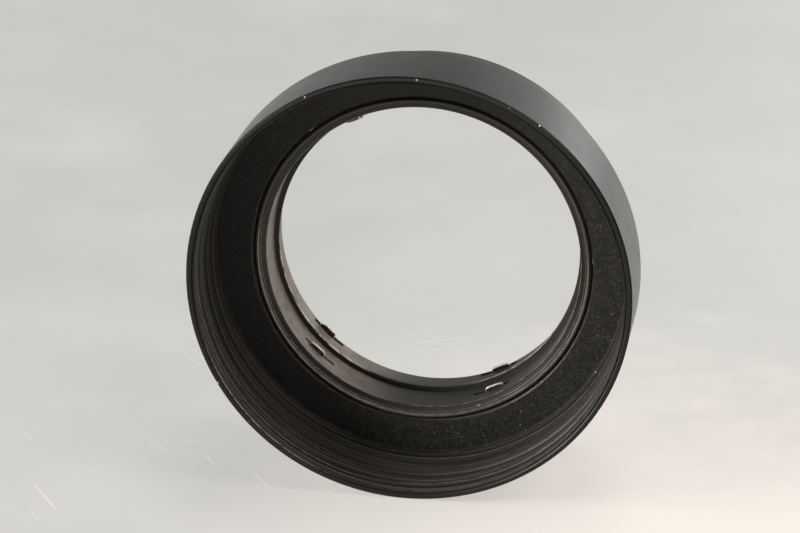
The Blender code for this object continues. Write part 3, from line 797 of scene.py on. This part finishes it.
# ------------------------------------------------------------------ inner sleeve
# radius, depth, finish, fillet radius: front cone and beads, collar with its rib, outside
SLEEVE_OUTLINE = [
    (22.60, 12.26, "cone", 0.02), (22.38, 12.18, "cone", 0.03), (22.38, 11.86, "cone", 0.04),
    (22.30, 11.80, "bead", 0.02), (22.10, 11.76, "bead", 0.05), (21.95, 11.82, "bead", 0.03),
    (21.92, 12.10, "cone", 0.02), (21.82, 12.13, "cone", 0.02), (21.76, 12.10, "bead", 0.02),
    (21.70, 12.16, "cone", 0.02), (21.30, 12.44, "cone", 0.03), (21.11, 12.50, "edge", 0.03),
    (COLLAR_RADIUS, 12.58, "collar", 0.03), (COLLAR_RADIUS, 17.50, "rib", 0.03),
    (20.43, 17.50, "rib_edge", 0.03), (20.35, 17.57, "rib_edge", 0.03),
    (20.35, 17.94, "rib_edge", 0.03), (20.41, 18.00, "rib", 0.03),
    (COLLAR_RADIUS, 18.00, "collar", 0.03), (COLLAR_RADIUS, 22.30, "edge", 0.03),
    (21.15, 22.40, "raw", 0.03), (21.70, 22.40, "raw", 0.05), (21.70, 12.80, "raw", 0.05),
    (22.60, 12.80, "raw", 0.05)]
# slots at the hooks
SLOT_ANGLE = 90.0 - 34.85            # of the slot's middle, either way from a side
SLOT_HALF_ANGLE = 7.35
SLOT_HALF_DEPTH = 0.35


def build_sleeve():
    finishes = {"cone": CONE, "bead": BEAD, "edge": EDGE, "collar": COLLAR, "rib": RIB,
                "rib_edge": RIB_EDGE, "raw": RAW}
    sleeve = lathe("sleeve", SLEEVE_OUTLINE, finishes)
    half_width = math.radians(SLOT_HALF_ANGLE) * COLLAR_RADIUS
    cuts = []
    for side in SIDES:
        for sign in SIGNS:
            for depth in HOOK_DEPTHS:
                slot = rounded_rect(half_width, depth - SLOT_HALF_DEPTH, depth + SLOT_HALF_DEPTH,
                                    radius=0.20, steps=4)
                slab = radial_slab(20.6, 22.2, slot, side + sign * SLOT_ANGLE)
                cuts.append(("DIFFERENCE", slab))
    apply_booleans(sleeve, cuts, slot=list(finishes).index("collar"))
    deliver(sleeve, "inner_sleeve", "housing")


build_sleeve()

# ------------------------------------------------------------------ rear cover ring
# radius, depth, finish, fillet radius; a fine V groove runs round the rear face
COVER_OUTLINE = [
    (21.82, COVER_FRONT, "lacquer", 0.03), (25.70, COVER_FRONT, "lacquer", 0.06),
    (25.70, COVER_REAR, "lacquer", 0.16), (24.72, COVER_REAR, "lacquer", 0.0),
    (24.66, 22.80, "lacquer", 0.0), (24.60, COVER_REAR, "lacquer", 0.0),
    (22.0, COVER_REAR, "lacquer", 0.05), (21.82, 22.72, "lacquer", 0.04)]
# countersunk hole at each pivot: depth, radius
COUNTERSINK = ((21.6, 0.54), (22.28, 0.54), (22.72, 0.97), (23.3, 0.97))


def build_cover():
    cover = lathe("rear_cover", COVER_OUTLINE, {"lacquer": COVER_LACQUER})
    cuts = []
    for side in SIDES:
        for sign in SIGNS:
            angle = side + sign * PIVOT_ANGLE
            cuts.append(("DIFFERENCE", layered([
                (depth, pivot_circle(radius, angle, steps=32)) for depth, radius in COUNTERSINK])))
    apply_booleans(cover, cuts)
    deliver(cover, "rear_cover_ring", "housing")


build_cover()

# ------------------------------------------------------------------ clasp arms
# place, side angle, way round, front hook's tip radius, how much further in the rear hook's is
ARMS = (
    ("lower_right", RIGHT_SIDE, -1, 20.52, 0.05),
    ("upper_right", RIGHT_SIDE, 1, 20.60, 0.05),
    ("upper_left", LEFT_SIDE, -1, 20.25, 0.05),
    ("lower_left", LEFT_SIDE, 1, 20.47, 0.12))

# the bent strip; arm angles are measured from the arm's side
STRIP_START, STRIP_END = 4.6, 59.0
STRIP_CORNER = 1.1                   # rounding of the strip's ends, in degrees
STRAP_DEPTHS = (16.60, 19.40)        # narrow part
PLATE_MORE = (2.00, 2.58)            # how much further the wide plate goes: front, rear
FLARE_START, FLARE_RUN = 45.2, 1.6   # where the strap widens into the plate
SHEET_EDGE = (                       # rounded edge of the sheet: radius, set back from the edge
    (22.90, 0.07), (22.92, 0.02), (22.97, 0.0), (23.33, 0.0), (23.38, 0.02), (23.40, 0.07))

BOSS = ((13.10, 0.88), (13.17, 0.95), (19.33, 0.95), (19.40, 0.88))      # depth, radius
BORE = ((12.0, 0.50), (20.5, 0.50))

HOOK_START, HOOK_END = 90.0 - 39.6, 90.0 - 32.3
HOOK_ROOT = 23.12                    # radius, inside the sheet
HOOK_HALF_DEPTH = 0.25
HOOK_EDGE = 0.16                     # rounding of the hook's edges
# tip corners: rise (mm) and run (degrees) at the hook's start, then at its end
FRONT_HOOK = (0.32, 4.2, 0.50, 1.5)
REAR_HOOK = (0.40, 3.2, 0.40, 0.8)


def strip_angles():
    """Stations along the strip, close together at its ends and at the flare."""
    corner_steps = (0.0, 0.1, 0.3, 0.6, 1.0)
    strap_end, plate_start = 44.6, 47.4
    return sorted(
        {STRIP_START + STRIP_CORNER * t for t in corner_steps}
        | {STRIP_END - STRIP_CORNER * t for t in corner_steps}
        | {FLARE_START + 0.2 * k for k in range(9)}
        | {STRIP_START + STRIP_CORNER + (strap_end - STRIP_START - STRIP_CORNER) * k / 26
           for k in range(1, 27)}
        | {plate_start + (STRIP_END - STRIP_CORNER - plate_start) * k / 7 for k in range(7)})


def arm_strip(side, sign):
    rings = []
    for angle in strip_angles():
        flare = min(1.0, max(0.0, (angle - FLARE_START) / FLARE_RUN))
        flare = flare * flare * (3 - 2 * flare)
        to_end = min(angle - STRIP_START, STRIP_END - angle)
        corner = max(0.0, 1 - to_end / STRIP_CORNER)
        inset = 0.45 * (1 - math.sqrt(max(0.0, 1 - corner * corner)))
        front = STRAP_DEPTHS[0] - PLATE_MORE[0] * flare + inset
        rear = STRAP_DEPTHS[1] + PLATE_MORE[1] * flare - inset
        section = [(radius, front + back) for radius, back in SHEET_EDGE]
        section += [(radius, rear - back) for radius, back in reversed(SHEET_EDGE)]
        rings.append([polar(radius, side + sign * angle, depth) for radius, depth in section])
    return skinned(rings)


def hook(side, sign, depth, tip, start_rise, start_run, end_rise, end_run):
    profile = [(HOOK_ROOT, HOOK_START)]                  # radius, arm angle
    for k in range(15):
        turn = math.radians(90.0 * k / 14)
        profile.append((tip + start_rise * (1 - math.sin(turn)),
                        HOOK_START + start_run * (1 - math.cos(turn))))
    for k in range(13):
        turn = math.radians(90.0 * k / 12)
        profile.append((tip + end_rise * (1 - math.cos(turn)),
                        HOOK_END - end_run * (1 - math.sin(turn))))
    profile.append((HOOK_ROOT, HOOK_END))
    outline = [(radius * math.cos(math.radians(side + sign * angle)),
                radius * math.sin(math.radians(side + sign * angle)))
               for radius, angle in profile]
    front = []
    for k in range(8):
        turn = math.radians(90.0 * k / 7)
        front.append((depth - HOOK_HALF_DEPTH + HOOK_EDGE * (1 - math.cos(turn)),
                      offset_outline(outline, HOOK_EDGE * (1 - math.sin(turn)))))
    rear = [(2 * depth - layer, points) for layer, points in reversed(front)]
    return layered(front + rear)


def build_arm(place, side, sign, tip, rear_more):
    arm = mesh_object("arm_" + place, arm_strip(side, sign), [ARM_BLACK])
    boss, bore = (
        layered([(depth, pivot_circle(radius, side + sign * PIVOT_ANGLE, steps=40))
                 for depth, radius in stations]) for stations in (BOSS, BORE))
    front_depth, rear_depth = HOOK_DEPTHS
    apply_booleans(arm, [
        ("UNION", boss),
        ("UNION", hook(side, sign, front_depth, tip, *FRONT_HOOK)),
        ("UNION", hook(side, sign, rear_depth, tip - rear_more, *REAR_HOOK)),
        ("DIFFERENCE", bore)])
    deliver(arm, "clasp_arm_" + place, "arm_" + place, sharp=50.0)


for row in ARMS:
    build_arm(*row)

# ------------------------------------------------------------------ finishes of the CAD pieces
FINISHES = {"pivot_screw": BRIGHT_STEEL, "arm_spring": BRIGHT_STEEL, "button_shoe": SHOE_STEEL,
            "button_rivet": BRASS, "button_left": BUTTON, "button_right": BUTTON}
for name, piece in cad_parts.items():
    for prefix, material in FINISHES.items():
        if name.startswith(prefix):
            for slot in piece.material_slots:
                slot.material = material
            if not piece.material_slots:
                piece.data.materials.append(material)

# ------------------------------------------------------------------ table
TABLE_X = (-6.0, 6.0)
TABLE_Y = (-2.0, 9.0)
TABLE_Z = -0.029
# scratches: direction (radians), frequency along and across them, seed
SCRATCHES = ((0.5, 0.030, 2.6, 0.0), (-0.9, 0.040, 3.1, 40.0), (2.2, 0.035, 2.2, 90.0))


def table_scratches(mat):
    def lines(direction, along, across, seed):
        cos, sin = math.cos(direction), math.sin(direction)
        ahead = mat.math("ADD", mat.times(mat.x, cos), mat.times(mat.depth, sin))
        aside = mat.math("SUBTRACT", mat.times(mat.depth, cos), mat.times(mat.x, sin))
        vector = mat.combine(mat.times(ahead, along), mat.scaled(aside, across, seed), 0.0)
        return mat.ramp(mat.noise(scale=1.0, detail=1.0, vector=vector), over=(0.70, 0.76))

    return mat.times(mat.either(*(lines(*row) for row in SCRATCHES)),
                     mat.ramp(mat.noise(scale=0.05), over=(0.50, 0.62)))


def table_top():
    """Grey top that glows as painted light, with warmer painted light in front of the hood and to
    the right.
    """
    mat = Material("table_top", (0.281, 0.280, 0.270), rough=0.50, spec=0.0)
    x = mat.times(mat.x, 0.001)                          # metres from here on
    y = mat.scaled(mat.depth, by=0.001, plus=FRONT_Y)
    cloud = mat.noise(scale=0.022, detail=4.0, rough=0.55)
    blot = mat.noise(scale=0.11, detail=4.0, rough=0.6)
    ragged_y = mat.scaled(mat.centred(blot), by=0.045, plus=y)
    near_side = mat.times(mat.ramp(ragged_y, over=(0.075, -0.012)),
                          mat.ramp(y, over=(-0.30, -0.08)))
    right = mat.ramp(x, over=(-0.034, 0.036))
    warm_light = mat.times(near_side, mat.scaled(right, by=0.84, plus=0.14))
    # painted light: brighter to the right, most of all in a painted pool of light behind the hood
    tone = mat.ramp(x, over=(-0.05, 0.10), to=(0.885, 1.055))
    pool = mat.times(
        mat.times(mat.ramp(x, over=(0.056, 0.12)), mat.ramp(y, over=(0.04, 0.10))),
        mat.times(mat.ramp(x, over=(0.42, 0.18)), mat.ramp(y, over=(0.60, 0.25))))
    mat.dim(mat.times(tone, mat.scaled(pool, by=0.45, plus=1.0)))
    # painted light: warmer and brighter in front of the hood and to the right
    mat.paint(warm_light, (0.405, 0.380, 0.350))
    mat.paint(mat.ramp(cloud, over=(0.35, 0.70)), (0.36, 0.35, 0.33), amount=0.22)
    mat.paint(mat.times(table_scratches(mat), mat.scaled(near_side, by=0.30, plus=0.06)),
              (0.52, 0.49, 0.44))
    # plain grey far away, where the table meets the surround
    far = mat.either(mat.ramp(mat.hypot(x, y), over=(0.55, 1.6)),
                     mat.ramp(x, over=(-0.50, -0.80)))
    mat.paint(far, (0.30, 0.297, 0.291))
    # the glow is painted light that keeps cast shadows faint
    mat.put(mat.shader.inputs["Emission Color"], mat.mix(far, mat.color, (0.323, 0.320, 0.313)))
    mat.put(mat.shader.inputs["Emission Strength"], 1.58)
    # darker close under the left softbox, so its spill doesn't burn out
    from_light = mat.hypot(mat.math("ADD", x, 0.62), mat.math("ADD", y, 0.25))
    mat.dim(mat.ramp(from_light, over=(0.22, 0.60), to=(0.05, 0.5)))
    return mat.finish()


def build_table():
    (left, right), (front, rear) = TABLE_X, TABLE_Y
    sheet = bmesh.new()
    corners = ((left, front), (right, front), (right, rear), (left, rear))
    sheet.faces.new([sheet.verts.new((x, y, TABLE_Z)) for x, y in corners])
    mesh_object("table", sheet, [table_top()])


scene = bpy.context.scene
scene.view_settings.view_transform = "Standard"
build_table()

# ------------------------------------------------------------------ surroundings
AMBIENT_FRONT, AMBIENT_REAR = 0.015, 0.45    # dark behind the camera, pale behind the hood
CAMERA_SURROUND = 0.58                       # plain tone that the camera sees directly
# soft bright patches: azimuth from +Y towards +X, elevation, inner and outer radius in degrees,
# strength
SKY_PATCHES = ((24.0, -6.0, 3.0, 22.0, 1.35), (24.0, 12.0, 5.0, 28.0, 0.42))


def build_world():
    world = bpy.data.worlds.new("studio")
    scene.world = world
    world.use_nodes = True
    nodes = Nodes(world.node_tree)
    background = nodes.tree.nodes["Background"]
    view = nodes.node("ShaderNodeTexCoord").outputs["Generated"]
    _, y, z = nodes.split(view)
    sky = nodes.times(nodes.ramp(y, over=(-0.30, 0.02), to=(AMBIENT_FRONT, AMBIENT_REAR)),
                      nodes.ramp(z, over=(0.10, 0.50), to=(1.0, 0.35)))
    for azimuth, elevation, inner, outer, strength in SKY_PATCHES:
        turn, lift = math.radians(azimuth), math.radians(elevation)
        centre = (math.sin(turn) * math.cos(lift), math.cos(turn) * math.cos(lift), math.sin(lift))
        edge = (math.cos(math.radians(outer)), math.cos(math.radians(inner)))
        patch = nodes.ramp(nodes.vmath("DOT_PRODUCT", view, centre), edge, to=(0.0, strength))
        sky = nodes.math("ADD", sky, patch)
    seen = nodes.node("ShaderNodeLightPath").outputs["Is Camera Ray"]
    lighting = nodes.times(sky, nodes.math("SUBTRACT", 1.0, seen))
    strength = nodes.math("ADD", lighting, nodes.times(seen, CAMERA_SURROUND))
    nodes.put(background.inputs["Color"], (1.0, 0.99, 0.97, 1.0))
    nodes.put(background.inputs["Strength"], strength)


build_world()


def softbox(name, place, size, power, color, target=(0, 0, 0)):
    light = bpy.data.lights.new(name, "AREA")
    light.shape = "RECTANGLE"
    light.size, light.size_y = size
    light.energy = power
    light.color = color
    holder = bpy.data.objects.new(name, light)
    holder.location = place
    aim = Vector(target) - Vector(place)
    holder.rotation_euler = aim.to_track_quat("-Z", "Y").to_euler()
    scene.collection.objects.link(holder)


softbox("softbox_left", place=(-0.74, -0.31, 0.30), size=(0.42, 0.40), power=11.5,
        color=(1.0, 0.98, 0.96))
softbox("softbox_right", place=(0.66, -0.13, 0.72), size=(0.55, 0.50), power=7.0,
        color=(1.0, 0.98, 0.96))
softbox("softbox_above", place=(0.12, 0.16, 1.10), size=(0.6, 0.30), power=6.9,
        color=(1.0, 0.99, 0.97), target=(0, 0.02, 0))

# ------------------------------------------------------------------ camera
CAMERA_PLACE = (0.058261, FRONT_Y - 0.339822, 0.135679)
# scene directions of the camera's own right, up and backward axes
CAMERA_AXES = ((0.98525, 0.17113, 0.0), (-0.06119, 0.35230, 0.93388),
               (0.15982, -0.92011, 0.35758))


def build_camera():
    lens = bpy.data.cameras.new("camera")
    lens.sensor_width = 36.0
    lens.lens = 130.185
    lens.clip_start = 0.01
    lens.shift_x = -0.000375
    lens.shift_y = 0.0008125
    camera = bpy.data.objects.new("camera", lens)
    pose = Matrix(CAMERA_AXES).transposed().to_4x4()
    pose.translation = Vector(CAMERA_PLACE)
    camera.matrix_world = pose
    scene.collection.objects.link(camera)
    scene.camera = camera


build_camera()

bpy.context.view_layer.update()
